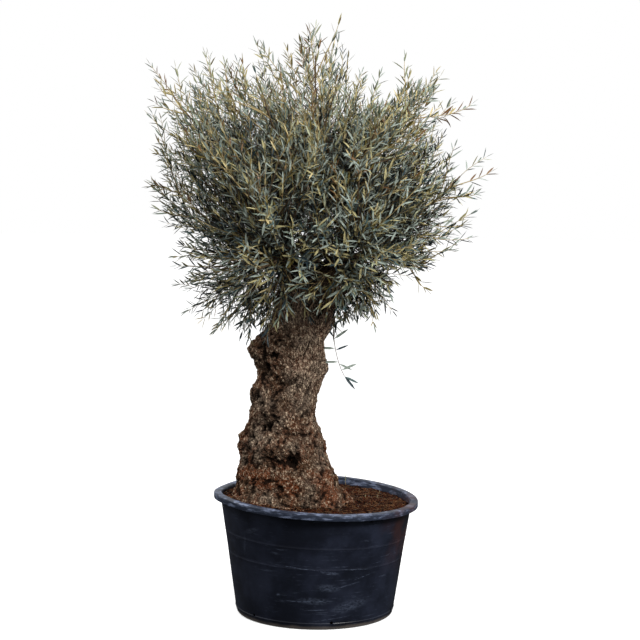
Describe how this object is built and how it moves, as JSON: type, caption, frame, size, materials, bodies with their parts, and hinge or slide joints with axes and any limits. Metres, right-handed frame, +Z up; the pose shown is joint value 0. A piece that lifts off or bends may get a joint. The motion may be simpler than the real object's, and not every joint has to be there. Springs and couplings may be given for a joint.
{
  "type": "potted olive tree",
  "caption": "Old olive tree with a thick gnarled leaning trunk and a dense wide crown of narrow grey-green leaves, in a large round tapered nursery tub with an outward lip.",
  "frame": {"origin": "middle of the tub's flat underside, on the ground", "axes": "+Z up along the tub's axis; -Y towards the viewer that sees the trunk lean to the right as it rises; +X to that viewer's right"},
  "size_m": [1.705, 1.5809, 2.9172],
  "materials": {
    "plastic": "satin",
    "soil": "matte",
    "bark": "matte",
    "bough_bark": "matte",
    "foliage": "matte"
  },
  "bodies": {
    "root": {"tub": "plastic", "soil": "soil", "trunk": "bark", "bough_right": "bough_bark", "bough_back_right": "bough_bark", "bough_back_left": "bough_bark", "bough_left": "bough_bark", "bough_front_left": "bough_bark", "bough_front_right": "bough_bark", "bough_middle": "bough_bark", "skirt_right": "foliage", "skirt_back_right": "foliage", "skirt_back_left": "foliage", "skirt_left": "foliage", "skirt_front_left": "foliage", "skirt_front_right": "foliage", "waist_right": "foliage", "waist_back_right": "foliage", "waist_back_left": "foliage", "waist_left": "foliage", "waist_front_left": "foliage", "waist_front_right": "foliage", "shoulder_right": "foliage", "shoulder_back_right": "foliage", "shoulder_back_left": "foliage", "shoulder_left": "foliage", "shoulder_front_left": "foliage", "shoulder_front_right": "foliage", "upper_right": "foliage", "upper_back_right": "foliage", "upper_back_left": "foliage", "upper_left": "foliage", "upper_front_left": "foliage", "upper_front_right": "foliage", "top": "foliage", "hanging_shoot": "foliage"}
  },
  "joints": []
}
